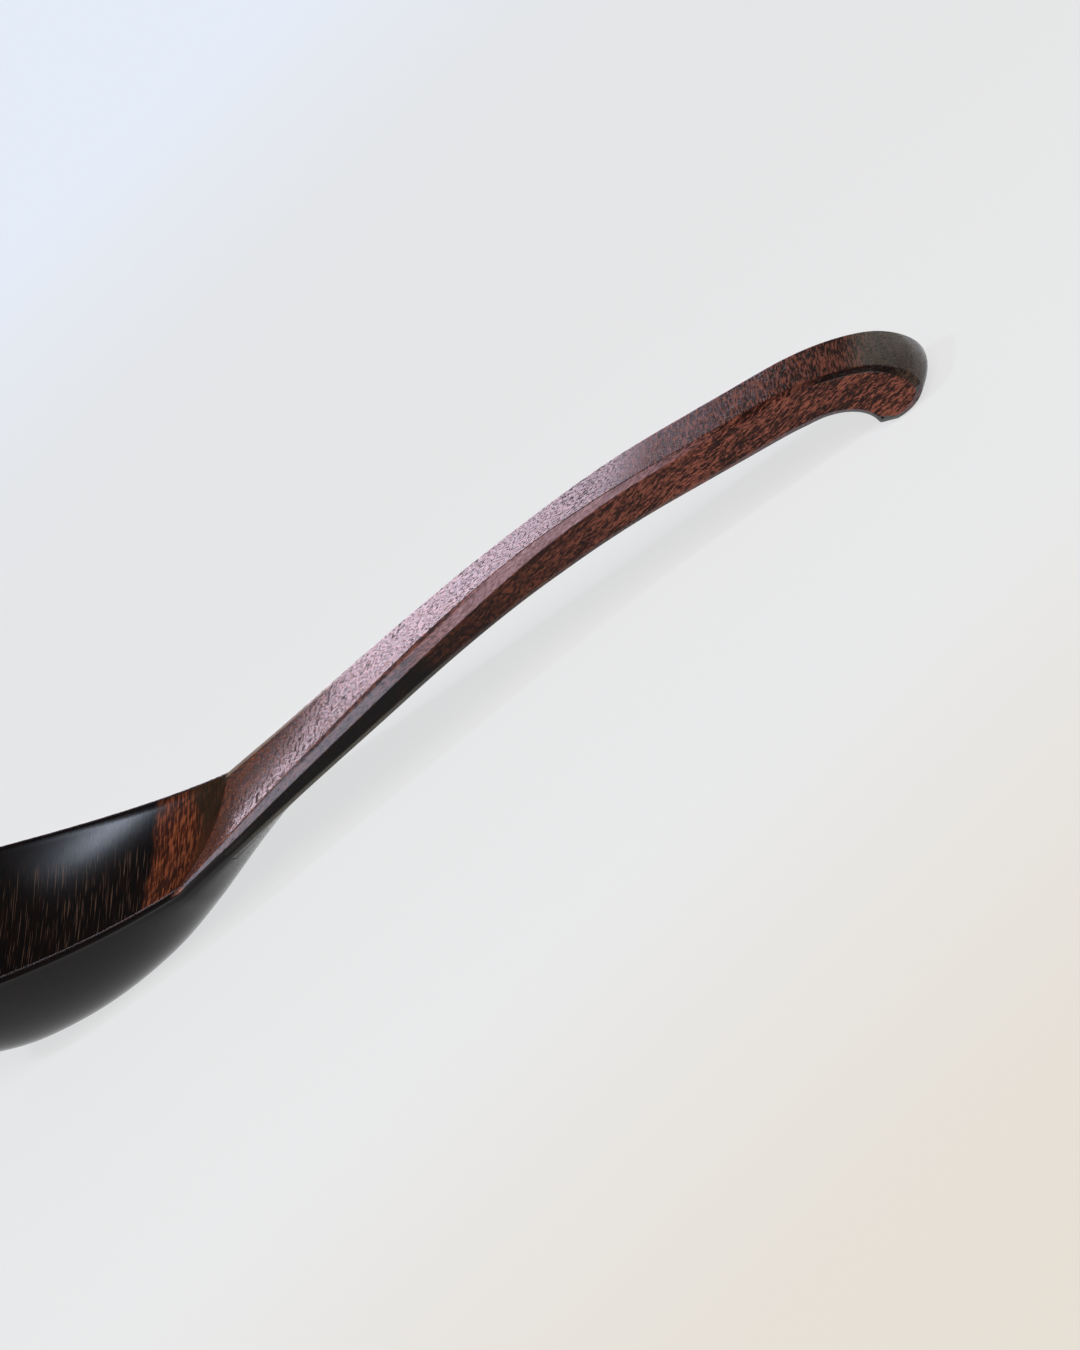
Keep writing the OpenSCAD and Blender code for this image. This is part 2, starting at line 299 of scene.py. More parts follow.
# %% Points of the half section, from the land to the keel
ACROSS = ("half", "chamfer", "edge", "land", "soft")
RISE = ("chamfer", "thick", "edge", "dish", "keel", "soft")
DIAG = math.sqrt(0.5)
FURTHER = 2.5
CHAMFER_MARKS = (0.35, 0.65)
LOW_STEPS = 15
LOW_EDGE = 0.7


def point(low=None, **weights):
    """One point, with a_ weights across and z_ weights up.

    Low is its place where the underside is round, from 0 at the keel to 1 at the edge.
    """
    square = [weights.get("a_" + k, 0) for k in ACROSS], [weights.get("z_" + k, 0) for k in RISE]
    if low is None:
        return square, square
    s = math.sin(math.pi / 2 * low)
    lift = s**SIZES.flank_power
    return square, ([s, 0, 0, 0, 0], [-lift, 0, 0, 0, lift - 1, 0])


def corner(lows, steps, **weights):
    """Points that soften a corner; steps are moves from it in units of the softening, across and up."""
    points = []
    for low, (across, up) in zip(lows, steps):
        points.append(point(low, a_soft=across, z_soft=up, **weights))
    return points


def bend(first, second):
    """Four moves round a corner, from its first side to its second: near, middle, near and further off."""
    middle = [(a + b) / 4 for a, b in zip(first, second)]
    return [first, middle, second, [FURTHER * v for v in second]]


no_low = [None] * 4
half_ring = [point(a_half=1, a_chamfer=-1, a_land=-1)]
half_ring += [point(a_half=1, a_chamfer=-1, a_soft=-FURTHER)]
half_ring += corner(no_low, bend((-1, 0), (DIAG, -DIAG))[:3], a_half=1, a_chamfer=-1)
half_ring += [point(a_half=1, a_chamfer=-1 + g, z_chamfer=-g) for g in CHAMFER_MARKS]
half_ring += corner(no_low[:2], bend((-DIAG, DIAG), (0, -1))[:2], a_half=1, z_chamfer=-1)
half_ring += [point(a_half=1, z_chamfer=-1, z_soft=-1)]
half_ring += corner([0.9], [(0, -FURTHER)], a_half=1, z_chamfer=-1)
half_ring += [point(0.86, a_half=1, z_chamfer=-0.5, z_thick=-0.5, z_edge=0.5)]
half_ring += corner([0.83], [(0, FURTHER)], a_half=1, z_thick=-1, z_edge=1)
half_ring += corner((0.82, 0.81, 0.8), bend((0, 1), (-DIAG, -DIAG)), a_half=1, z_thick=-1, z_edge=1)
half_ring += [point(0.775, a_half=1, a_edge=-0.5, z_thick=-1, z_edge=0.5)]
lower_lows = (0.75, 0.735, 0.72, LOW_EDGE)
half_ring += corner(lower_lows, bend((DIAG, DIAG), (-1, 0)), a_half=1, a_edge=-1, z_thick=-1)
for i in range(LOW_STEPS):
    f = 1 - (i + 1) / LOW_STEPS
    half_ring.append(point(LOW_EDGE * f, a_half=f, a_edge=-f, z_thick=-1))
print("points of the half section:", len(half_ring))

# %% The whole open ring, and the top face that closes it
other_half = []
for square, rounded in half_ring[-2::-1]:
    other_half.append((([-v for v in square[0]], square[1]), ([-v for v in rounded[0]], rounded[1])))
open_ring = half_ring + other_half
TOP_STEPS = 30
top_ring = []
for i in range(1, TOP_STEPS):
    s = -1 + 2 * i / TOP_STEPS
    top_ring.append(point(a_half=s, a_chamfer=-s, a_land=-s, z_dish=s * s - 1))
print("points round the section:", len(open_ring) + len(top_ring))


def weight_arrays(ring):
    """(square across, square rise, round across, round rise), one row for each point."""
    return [np.array([pair[kind][part] for pair in ring]) for kind in (0, 1) for part in (0, 1)]


# %% [markdown]
# ## The handle, bent to shape by Geometry Nodes
# A real handle like this is sawn to its outline, then shaped with spokeshave and rasp so that every section
# follows from the one before. A mesh that is moved by rules fits that: a plain tube carries its weights as
# attributes, and the tree turns them into places, with the sizes as its inputs. A change of one input then
# reshapes the whole handle, which a fixed mesh could not do.


# %% Mesh helpers
def add_mesh(name, points, faces):
    mesh = bpy.data.meshes.new(name)
    mesh.from_pydata([tuple(map(float, p)) for p in points], [], faces)
    mesh.update()
    piece = bpy.data.objects.new(name, mesh)
    bpy.context.scene.collection.objects.link(piece)
    return piece


def band(rows, closed):
    """Faces between rows of vertex numbers, each row of the same length."""
    faces = []
    for first, second in zip(rows, rows[1:]):
        count = len(first)
        for i in range(count if closed else count - 1):
            n = (i + 1) % count
            faces.append((first[n], first[i], second[i], second[n]))
    return faces


SHARP_TURN = math.radians(35)
SAME_SPOT = 1e-7
SPLIT_LOOKS_BACK = -0.95
OVER_FLOOR = 4
HOLLOW_MIDDLE = np.array([-SIZES.belly_at - OVER_FLOOR, 0, OVER_FLOOR])


def face_masks(spots, facing):
    """Masks for the wood at each vertex, from its place on the ground and the way that its faces look."""
    blank = (spots / MM - SHIFT) @ TURN
    along = np.clip(blank[:, 0], 0, SIZES.hook_joint)
    depth = (top_z(along, SIZES) - blank[:, 2]) / chamfer(along, SIZES)
    land = neck_half(along, SIZES) - chamfer(along, SIZES) - SIZES.rim_land
    inward = HOLLOW_MIDDLE - blank
    inward /= np.linalg.norm(inward, axis=1)[:, None]
    sideways, upward = np.abs(facing[:, 1]), facing[:, 2]
    edge = np.minimum(step(sideways, 0.3, 0.55), 1 - step(sideways, 0.83, 0.95))
    return {
        "end_grain": np.abs(facing[:, 0]),
        "flat_face": np.clip(upward, 0, 1),
        "upper_edge": edge * (upward > 0.1),
        "lower_edge": edge * (upward < -0.1),
        "edge_depth": np.clip(depth, 0, 3) * (upward < 0.85),
        "far_land": np.clip((blank[:, 1] - land + 0.6) / 0.4, 0, 1) * (upward > 0.3),
        "hollow": step(((facing @ TURN) * inward).sum(axis=1), 0, 0.3),
    }


def finish_piece(piece, wood):
    """Merge doubles, point faces outwards, shade smoothly between sharp edges and give it its wood."""
    work = bmesh.new()
    work.from_mesh(piece.data)
    bmesh.ops.remove_doubles(work, verts=work.verts, dist=SAME_SPOT)
    bmesh.ops.recalc_face_normals(work, faces=work.faces)
    if work.calc_volume(signed=True) < 0:
        bmesh.ops.reverse_faces(work, faces=work.faces)
    work.to_mesh(piece.data)
    open_edges = sum(not e.is_manifold for e in work.edges)
    spots = np.array([v.co for v in work.verts])
    facing = np.zeros((len(work.verts), 3))
    for face in work.faces:
        if len(face.verts) <= 4 and face.normal.x > SPLIT_LOOKS_BACK:
            facing[[v.index for v in face.verts]] += np.array(face.normal) * face.calc_area()
    work.free()
    facing /= np.maximum(np.linalg.norm(facing, axis=1), 1e-20)[:, None]
    for name, share in face_masks(spots, facing).items():
        layer = piece.data.attributes.new(name, "FLOAT", "POINT")
        layer.data.foreach_set("value", share.astype(np.float32))
    piece.data.shade_smooth()
    piece.data.set_sharp_from_angle(angle=SHARP_TURN)
    piece.data.materials.clear()
    piece.data.materials.append(wood)
    print("%s: %d faces, %d open edges" % (piece.name, len(piece.data.polygons), open_edges))


# %% The tube that the tree bends
HANDLE_STEPS = 110
handle_ring = weight_arrays(open_ring + top_ring)
ring_size = len(handle_ring[0])
stations = np.linspace(SIZES.neck_joint, SIZES.hook_joint, HANDLE_STEPS + 1)
turns = np.linspace(0, 2 * math.pi, ring_size, endpoint=False)
tube_points = [(x, math.cos(a), math.sin(a)) for x in stations for a in turns]
tube_rows = [list(range(k * ring_size, (k + 1) * ring_size)) for k in range(len(stations))]
tube_ends = [tube_rows[0], tube_rows[-1][::-1]]
handle = add_mesh("spoon_handle", tube_points, band(tube_rows, True) + tube_ends)


def store(name, kind, values):
    layer = handle.data.attributes.new(name, kind, "POINT")
    field = "value" if kind == "FLOAT" else "vector"
    layer.data.foreach_set(field, np.asarray(values, np.float32).ravel())


def store_ring(name, *columns):
    """Three weights for each point of the ring, the same at every station."""
    store(name, "FLOAT_VECTOR", np.tile(np.c_[columns], (len(stations), 1)))


store("station", "FLOAT", np.repeat(stations, ring_size))
for kind, (across, up) in (("square", handle_ring[:2]), ("round", handle_ring[2:])):
    store_ring(kind + "_across", across[:, 0], across[:, 1], across[:, 2])
    store_ring(kind + "_rise", up[:, 0], up[:, 1], up[:, 2])
    store_ring(kind + "_extra", across[:, 3], up[:, 3], up[:, 4])
store_ring("softening", handle_ring[0][:, 4], handle_ring[1][:, 5], np.zeros(ring_size))
print("tube: %d stations of %d points" % (len(stations), ring_size))

# %% The tree: sizes at each station
tree = bpy.data.node_groups.new("handle_rule", "GeometryNodeTree")
Field.tree = tree
tree.interface.new_socket("Geometry", in_out="INPUT", socket_type="NodeSocketGeometry")
tree.interface.new_socket("Geometry", in_out="OUTPUT", socket_type="NodeSocketGeometry")
HANDLE_SIZES = (
    "neck_slope crown_rise crown_at handle_width crease_width flare_length flare_power "
    "edge_chamfer neck_chamfer chamfer_run rim_round rim_land pinch_length neck_thick handle_thick "
    "dish_depth dish_length belly_z belly_at round_from round_to keel_end keel_slope soft").split()
size_ids = {}
for name in HANDLE_SIZES:
    socket = tree.interface.new_socket(name, in_out="INPUT", socket_type="NodeSocketFloat")
    socket.default_value = float(getattr(SIZES, name))
    size_ids[name] = socket.identifier
inputs = tree.nodes.new("NodeGroupInput")
sizes = SimpleNamespace(**{name: Field(inputs.outputs[name]) for name in HANDLE_SIZES})


def attribute(name, kind):
    node = tree.nodes.new("GeometryNodeInputNamedAttribute")
    node.data_type = kind
    node.inputs["Name"].default_value = name
    return Field(next(out for out in node.outputs if out.enabled and out.name == "Attribute"))


def dot(a, b):
    node = tree.nodes.new("ShaderNodeVectorMath")
    node.operation = "DOT_PRODUCT"
    plug(node.inputs[0], a)
    plug(node.inputs[1], b)
    return Field(node.outputs["Value"])


def blend(name, factor):
    """The weights of a point, between those of the round section and those of the square one."""
    node = tree.nodes.new("ShaderNodeMix")
    node.data_type = "VECTOR"
    ends = {socket.identifier: socket for socket in [*node.inputs, *node.outputs]}
    plug(ends["Factor_Float"], factor)
    plug(ends["A_Vector"], attribute("round_" + name, "FLOAT_VECTOR"))
    plug(ends["B_Vector"], attribute("square_" + name, "FLOAT_VECTOR"))
    return Field(ends["Result_Vector"])


station = attribute("station", "FLOAT")
top = top_z(station, sizes)
flatness = squareness(station, sizes)
edge_cut = chamfer(station, sizes)
across = dot(blend("across", flatness), vector(neck_half(station, sizes), edge_cut, sizes.edge_chamfer))
up = dot(blend("rise", flatness), vector(edge_cut, thick(station, sizes), sizes.edge_chamfer))
extra = blend("extra", flatness)
across = across + dot(extra, vector(sizes.rim_land, 0, 0))
up = up + dot(extra, vector(0, dish(station, sizes), top - keel_z(station, sizes)))
softening = attribute("softening", "FLOAT_VECTOR")
across = across + dot(softening, vector(sizes.soft, 0, 0))
up = up + dot(softening, vector(0, sizes.soft, 0))
print("inputs of the tree:", len(size_ids))

# %% The tree: move the points, lay the handle down and hand out a plain mesh
wood = bpy.data.materials.new("dark_hardwood")
place = tree.nodes.new("GeometryNodeSetPosition")
down = tree.nodes.new("GeometryNodeTransform")
down.inputs["Rotation"].default_value = (0, tilt, 0)
down.inputs["Translation"].default_value = tuple(SHIFT * MM)
down.inputs["Scale"].default_value = (MM, MM, MM)
real = tree.nodes.new("GeometryNodeRealizeInstances")
paint = tree.nodes.new("GeometryNodeSetMaterial")
paint.inputs["Material"].default_value = wood
outputs = tree.nodes.new("NodeGroupOutput")
plug(place.inputs["Position"], vector(station, across, top + up))
chain = [inputs, place, down, real, paint, outputs]
for first, second in zip(chain, chain[1:]):
    tree.links.new(first.outputs["Geometry"], second.inputs["Geometry"])

rule = handle.modifiers.new("handle_rule", "NODES")
rule.node_group = tree
for name, identifier in size_ids.items():
    rule[identifier] = float(getattr(SIZES, name))
bent = bpy.data.meshes.new_from_object(handle.evaluated_get(bpy.context.evaluated_depsgraph_get()))
handle.modifiers.remove(rule)
handle.data = bent
bent.name = "spoon_handle"
WEIGHTS = ("station", "square", "round", "softening")
for name in [layer.name for layer in bent.attributes if layer.name.split("_")[0] in WEIGHTS]:
    bent.attributes.remove(bent.attributes[name])
print("tree nodes:", len(tree.nodes), " handle points:", len(bent.vertices))
finish_piece(handle, wood)

# %% [markdown]
# ## The bowl
# The bowl is hollowed with a bent knife down to a thin wall, and its rim sweeps up to the lip. Its outside is
# drawn in stations like the handle, down to the lip where both sides meet. The hollow is drawn in rings from
# its mouth, the rim and the crease, to its deepest point. Rings near the floor are eased along their length,
# because a knife leaves no corner there. A modelled subdivision cage could do this too, but it would leave
# the measured rim.


# %% Rules of the bowl
def rim_half(d):
    half, crease = SIZES.bowl_width / 2, SIZES.crease_width / 2
    rate = SIZES.flare_power * (SIZES.crease_width - SIZES.handle_width) / 2 / SIZES.flare_length
    waist_power = rate * SIZES.widest_at / (half - crease)
    waist = mix(half, crease, np.maximum(1 - d / SIZES.widest_at, 0) ** waist_power)
    front = half * np.sqrt(np.maximum(1 - rim_front(d) ** SIZES.lip_power, 0))
    return np.where(d < SIZES.widest_at, waist, front)


def rim_front(d):
    """0 at the greatest width, 1 at the lip."""
    return np.clip((d - SIZES.widest_at) / (SIZES.bowl_length - SIZES.widest_at), 0, 1)


def rim_z(d):
    return SIZES.lip_rise * (d / SIZES.bowl_length) ** SIZES.rim_power


def bowl_sizes(x):
    """The sizes that the section's weights act on at x, on either side of the crease."""
    if x >= 0:
        top, half, cut = top_z(x, SIZES), neck_half(x, SIZES), chamfer(x, SIZES)
    else:
        top, half, cut = rim_z(-x), float(rim_half(-x)), SIZES.rim_round
    deep = top - under_z(max(x, 0))
    if x < -SIZES.belly_at:
        before = (-SIZES.belly_at - x) / (SIZES.bowl_length - SIZES.belly_at)
        keel = mix(SIZES.belly_z, SIZES.lip_rise - SIZES.rim_round, before**SIZES.belly_power)
    else:
        keel = keel_z(x, SIZES)
    return top, half, cut, deep, top - keel


def bowl_row(x, weights):
    """Points of the open section at x; before the greatest width, insets follow the curve of the lip."""
    top, half, cut, deep, keel = bowl_sizes(x)
    q = squareness(x, SIZES)
    across = mix(weights[2], weights[0], q)
    up = mix(weights[3], weights[1], q)
    inset = across[:, 1:] @ (cut, SIZES.edge_chamfer, SIZES.rim_land, SIZES.soft)
    z = top + up @ (cut, deep, SIZES.edge_chamfer, dish(max(x, 0), SIZES), keel, SIZES.soft)
    if x >= -SIZES.widest_at:
        return np.c_[np.full(len(z), x), across[:, 0] * half + inset, z]
    drawn = -inset * np.sign(across[:, 0])
    front = rim_front(-x)
    along = -mix(SIZES.widest_at, SIZES.bowl_length - drawn, front)
    return np.c_[along, across[:, 0] * half * (1 - 2 * drawn / SIZES.bowl_width), z]


def dished(x, s):
    """Point of the dished top face; s runs from -1 at one land to 1 at the other."""
    half = neck_half(x, SIZES) - chamfer(x, SIZES) - SIZES.rim_land
    return np.array([x, half * s, top_z(x, SIZES) - dish(x, SIZES) * (1 - s * s)])


def crease_x(s):
    return SIZES.crease_bow * (1 - s * s)


print("half width of the rim at its widest: %.1f mm" % rim_half(SIZES.widest_at))


# %% Points of the bowl
TONGUE_STEPS = 12
BOWL_STEPS = 80
RING_STEPS = 44
MOUTH_SOFT = 0.2
points = []


def keep(row):
    start = len(points)
    points.extend(row)
    return list(range(start, len(points)))


ring_weights = weight_arrays(open_ring)
tongue_x = [SIZES.neck_joint * (1 - r / TONGUE_STEPS) for r in range(TONGUE_STEPS + 1)]
rim_x = [-SIZES.bowl_length * math.sin(math.pi / 2 * i / BOWL_STEPS) for i in range(1, BOWL_STEPS + 1)]
mouth_near, mouth_far, rows = [], [], []
for x in tongue_x + rim_x:
    row = bowl_row(x, ring_weights)
    if x <= 0:
        mouth_near.append(row[0].copy())
        mouth_far.append(row[-1].copy())
        towards_near = (row[1] - row[0]) * MOUTH_SOFT / np.linalg.norm(row[1] - row[0])
        row[0] += towards_near
        row[-1] += towards_near * (1, -1, 1)
        if x == 0:
            row[0, 0] += MOUTH_SOFT
            row[-1, 0] += MOUTH_SOFT
    rows.append(keep(row))
crease_s = [-1 + 2 * i / TOP_STEPS for i in range(TOP_STEPS + 1)]
tongue = []
for r in range(TONGUE_STEPS + 1):
    row = [dished(mix(SIZES.neck_joint, crease_x(s) + MOUTH_SOFT * (r == TONGUE_STEPS), r / TONGUE_STEPS), s)
           for s in crease_s[1:-1]]
    tongue.append([rows[r][-1]] + keep(row) + [rows[r][0]])
print("points of the outside:", len(points))

# %% The hollow
mouth = mouth_near + mouth_far[-2::-1] + [dished(crease_x(s), s) for s in crease_s[1:-1]]
mouth = np.array(mouth)
edge_loop = [row[0] for row in rows[TONGUE_STEPS:]] + [row[-1] for row in rows[-2:TONGUE_STEPS - 1:-1]]
edge_loop += tongue[-1][1:-1]
floor_point = np.array([-SIZES.belly_at, 0, -SIZES.hollow_depth])
steepness = mix(SIZES.crease_power, SIZES.hollow_power, smooth(-mouth[:, 0] / SIZES.belly_at))
FIRST_RING, LAST_RING = 0.97, 0.03
EASE_REACH, LEAST_REACH, EASE_SPAN = 14, 0.05, 30


def ring(r):
    """The hollow at fraction r of the way from its deepest point to its mouth, eased along its length."""
    level = np.full(len(mouth), r)
    plain = floor_point + (mouth - floor_point) * np.c_[level, level, r**steepness]
    reach = max(EASE_REACH * (1 - r), LEAST_REACH)
    offsets = np.arange(-EASE_SPAN, EASE_SPAN + 1)
    shares = np.exp(-0.5 * (offsets / reach) ** 2)
    eased = sum(np.roll(plain, k, axis=0) * share for k, share in zip(offsets, shares))
    return eased / shares.sum()


inner = ring(FIRST_RING)
first_edge = np.array([points[i] for i in edge_loop])
second_edge = mouth + (inner - mouth) * MOUTH_SOFT / np.linalg.norm(inner - mouth, axis=1)[:, None]
loops = [edge_loop, keep((first_edge + 2 * mouth + second_edge) / 4), keep(second_edge)]
for r in np.linspace(FIRST_RING, LAST_RING, RING_STEPS):
    loops.append(keep(ring(r)))
deepest = keep([floor_point])[0]
print("points of the bowl:", len(points))

# %% The bowl as one closed mesh
bowl_faces = band(rows, False) + band(tongue, False) + band(loops, True)
count = len(loops[-1])
bowl_faces += [(loops[-1][(i + 1) % count], loops[-1][i], deepest) for i in range(count)]
bowl_faces.append(rows[0] + tongue[0][1:-1])
bowl = add_mesh("spoon_bowl", lay(points), bowl_faces)
finish_piece(bowl, wood)

# %% [markdown]
# ## The hooked nose
# The nose is cut from the side with a coping saw: a round over the top, a notch underneath and a lip that
# catches on a rim. So it is drawn as that side outline, set at several depths across and drawn in at both
# sides by the chamfer. A bevel modifier would do the edges too, but here they must meet the handle's.


# %% Outline of the hook
NOSE_STEPS, HEEL_FINE, NOTCH_STEPS, STUB_STEPS = 48, 28, 28, 8
NOTCH_TURN = 84
LIP_SOFT, LIP_MIDDLE = 0.3, 0.27


def arc(start_turn, end_turn, steps):
    return np.radians(np.linspace(start_turn, end_turn, steps + 1))


over = arc(0, 90, NOSE_STEPS)
over_x = SIZES.hook_joint + SIZES.nose_length * np.sin(over)
outline = [np.c_[over_x, top_z(over_x, SIZES) - nose_fall(over_x)]]
outline += [heel_arc(arc(0, 90, HEEL_FINE)[1:])]
bevel_way = np.array([SIZES.lip_bevel, -SIZES.bevel_rise])
bevel_way /= np.linalg.norm(bevel_way)
lip = np.array([lip_x, lip_z])
outline += [lip + bevel_way * SIZES.lip_bevel / 2, lip + bevel_way * LIP_SOFT,
            lip + (bevel_way + (0, 1)) * LIP_SOFT * LIP_MIDDLE, lip + np.array((0, LIP_SOFT))]
into = arc(NOTCH_TURN, 0, NOTCH_STEPS)
outline += [np.c_[mix(notch_from, lip_x, np.sin(into)), mix(lip_z, under_z(notch_from), np.cos(into))]]
stub = np.linspace(notch_from, SIZES.hook_joint, STUB_STEPS)[1:]
outline += [np.c_[stub, under_z(stub)]]
outline = np.vstack([np.atleast_2d(part) for part in outline])
print("points of the hook's outline:", len(outline))

# %% The hook as one closed mesh
ahead = np.roll(outline, -1, axis=0) - outline
ahead /= np.linalg.norm(ahead, axis=1)[:, None]
along = ahead + np.roll(ahead, 1, axis=0)
along /= np.linalg.norm(along, axis=1)[:, None]
inward = np.c_[along[:, 1], -along[:, 0]]
inward[0], inward[-1] = (0, -1), (0, 1)
half, cut, soft = SIZES.handle_width / 2, SIZES.edge_chamfer, SIZES.soft
depths = [(half, cut + FURTHER * soft)]
depths += [(half + a * soft, cut + b * soft) for a, b in bend((0, 1), (-DIAG, -DIAG))[:3]]
depths += [(half - g * cut, cut - g * cut) for g in CHAMFER_MARKS]
depths += [(half - cut + a * soft, b * soft) for a, b in bend((DIAG, DIAG), (-1, 0))]
depths += [(half * f, 0) for f in (0.6, 0.3)]
depths += [(0, 0)] + [(-y, inset) for y, inset in depths[::-1]]
NOSE_ROUND, ROUND_REACH = 0.8, 6
layers, hook_points = [], []
for y, inset in depths:
    drawn = outline + inward * inset
    near_end = step(drawn[:, 0], SIZES.handle_length - ROUND_REACH, SIZES.handle_length)
    drawn[:, 0] -= NOSE_ROUND * (y / half) ** 2 * near_end
    layers.append(list(range(len(hook_points), len(hook_points) + len(drawn))))
    hook_points.extend(np.c_[drawn[:, 0], np.full(len(drawn), y), drawn[:, 1]])
hook_sides = [layers[0], layers[-1][::-1]]
hook = add_mesh("spoon_hook", lay(hook_points), band(layers, True) + hook_sides)
finish_piece(hook, wood)

# %% [markdown]
# ## The wood
# The blank is a dark hardwood, oiled to a soft gloss. A black heart runs through it and makes the lip and
# most of the hollow; the flank beside the neck is black from that heart and from painted shade. The rest is
# red-brown with fine dark strands. Fibres run along the blank and a ripple leans through it. A side face
# therefore shows strands, the top of the neck short dashes, and the crown and the hollow, which cut the
# ripple across, short upright lines. All of it is drawn in object coordinates, so that it runs on round a
# corner as one piece of wood does; a flat picture would break there. Over it lie painted sheen and painted
# reflections on the chamfers, the far land, the nose and a facet of the lip, and painted shade beside the
# crease. The masks that face_masks left on the vertices tell the chamfers, the land at the far edge, end
# grain and the hollow apart. The shader could guess them from its normal, but numbers on the mesh stay put
# under bump. Places are in millimetres from the middle of the spoon, so the crease lies near x = -28.


# %% Wood: places in the blank and the ripple in its layers
wood.use_nodes = True
Field.tree = wood.node_tree
spot = Field.tree.nodes.new("ShaderNodeTexCoord")
parts = Field.tree.nodes.new("ShaderNodeSeparateXYZ")
Field.tree.links.new(spot.outputs["Object"], parts.inputs[0])
x, y, z = [Field(out) * (1 / MM) for out in parts.outputs]


def noise(along, across, up, detail=1.0, rough=0.5):
    """Noise about zero, from -0.5 to 0.5."""
    node = Field.tree.nodes.new("ShaderNodeTexNoise")
    node.inputs["Scale"].default_value = 1
    node.inputs["Detail"].default_value = detail
    node.inputs["Roughness"].default_value = rough
    plug(node.inputs["Vector"], vector(along, across, up))
    return Field(node.outputs[0]) - 0.5


def tint(factor, first, second):
    node = Field.tree.nodes.new("ShaderNodeMix")
    node.data_type = "RGBA"
    ends = {socket.identifier: socket for socket in [*node.inputs, *node.outputs]}
    plug(ends["Factor_Float"], factor)
    plug(ends["A_Color"], first)
    plug(ends["B_Color"], second)
    return Field(ends["Result_Color"])


def painted(name):
    node = Field.tree.nodes.new("ShaderNodeAttribute")
    node.attribute_name = name
    return Field(node.outputs["Fac"])


def ripple(thin, broad):
    """Noise in plates that lean through the blank, of one thickness and one breadth."""
    return noise(through / thin, y / broad, along_plate / broad)


PLATE_SKEW, LAYER_SLOPE, SWELL, RIPPLE_RISE = 0.17, 0.09, 3.2, 0.35
through = (x - z + y * PLATE_SKEW) * DIAG
along_plate = (x + z) * DIAG
wander = noise(x / 9, y / 7, z / 6, 2.0)
swell = noise(x / 15, y / 9, z / 11) * SWELL
height = z - x * LAYER_SLOPE + swell + ripple(0.45, 2) * RIPPLE_RISE
print("nodes for places in the blank:", len(wood.node_tree.nodes))

# %% Wood: layers, strands, plates and pores
hollow = painted("hollow") * (1 - step(x, -28, -27))
flat_face = step(painted("flat_face"), 0.75, 0.9) * (1 - hollow)
crown = step(x + wander * 24, 36, 60)
layer = noise(x / 7, y / 4, height / 0.6, 2.0, 0.6)
fibre = noise(x / 0.8, y / 0.5, height / 0.12)
dash = noise(x / 0.6, y / 0.34, z / 2)
plate = ripple(0.2, 2.2)
grain = mix(mix(fibre, plate, hollow), mix(dash, plate, crown), flat_face)
light_share = step(layer * mix(0.6, 0.3, flat_face) + grain, -0.11, 0.18)
pore = noise(x / 0.5, y / 0.28, z / 0.5 + 7)
open_pore = step(pore, 0.02, 0.08) * flat_face * (1 - step(x, 44, 66) * 0.9)
open_pore = most(open_pore, step(pore, 0.1, 0.16) * (1 - hollow) * step(x, -35, -15) * 0.7)
stroke = step(ripple(0.3, 2.6), 0.05, 0.15) * (1 - step(x, -8, 12))
thin_line = step(ripple(0.15, 5), 0.1, 0.19) * (1 - step(x * 0.35 + z, -8, -5))
print("nodes with layers and pores:", len(wood.node_tree.nodes))

# %% Wood: its own colours, from the black lip to the red-brown tip, and painted shade on the flanks
ORANGE_NECK, RED_TIP = (0.58, 0.155, 0.06, 1), (0.32, 0.098, 0.062, 1)
BROWN_NECK, BROWN_TIP = (0.045, 0.013, 0.008, 1), (0.026, 0.009, 0.007, 1)
BLACK_HEART_AND_SHADE = (0.005, 0.004, 0.004, 1)
side_depth = painted("edge_depth")
black_lip = step(z - x - 52 + wander * 3, -1, 1)
outside = mix(1 - hollow, step(side_depth, 0.8, 1.1), step(x, -29, -27))
# Black on the outside of the bowl and below the chamfers of the neck: partly the dark heart, partly painted
# shade.
side_heart_and_shade = (1 - step(x - wander * 34, 14, 42)) * outside
black = most(black_lip, side_heart_and_shade)
towards_tip = step(x, 0, 55)
warm = tint(towards_tip, ORANGE_NECK, RED_TIP)
deep = tint(towards_tip, BROWN_NECK, BROWN_TIP)
share = light_share * (1 - stroke * 0.85) * (1 - black * 0.98) * (1 - hollow * 0.52)
# Painted shade: the outside of the bowl and the sides of the handle are darkened further, fading out between
# x = 38 and x = 66.
share = share * (1 - outside * (1 - step(x - wander * 20, 38, 66)) * 0.55)
colour = tint(share, tint(black, deep, BLACK_HEART_AND_SHADE), warm)
print("nodes with the wood's own colours:", len(wood.node_tree.nodes))

# %% Wood: painted sheen, reflections and shade, and where it is cut across or open
upper_edge, lower_edge = painted("upper_edge"), painted("lower_edge")
# Painted shade beside the crease in the hollow, tinted olive as a painted reflection.
crease_shade = hollow * step(x + wander * 4, -36.5, -33)
# End grain at the nose is darker, and its olive-grey tint there is a painted reflection.
end_grain = step(painted("end_grain"), 0.33, 0.6) * step(x, 55, 65)
dark_edge = upper_edge * step(x + wander * 6, 76, 82) * step(z, 4, 6)
red_stripe = upper_edge * (1 - step(side_depth, 0.2, 0.32)) * step(x, -9, 0) * (1 - step(x, 18, 34))
at_neck = step(x, -29, -25) * (1 - step(x, 8, 30))
# Painted reflection on the chamfers: blue-grey along the upper chamfers of the neck and on the lower chamfer
# of the hook, broken by the grain.
sheen_break = step(grain, -0.6, 0.1)
edge_sheen = most(upper_edge * at_neck, lower_edge * step(x, 60, 75) * 0.4) * sheen_break
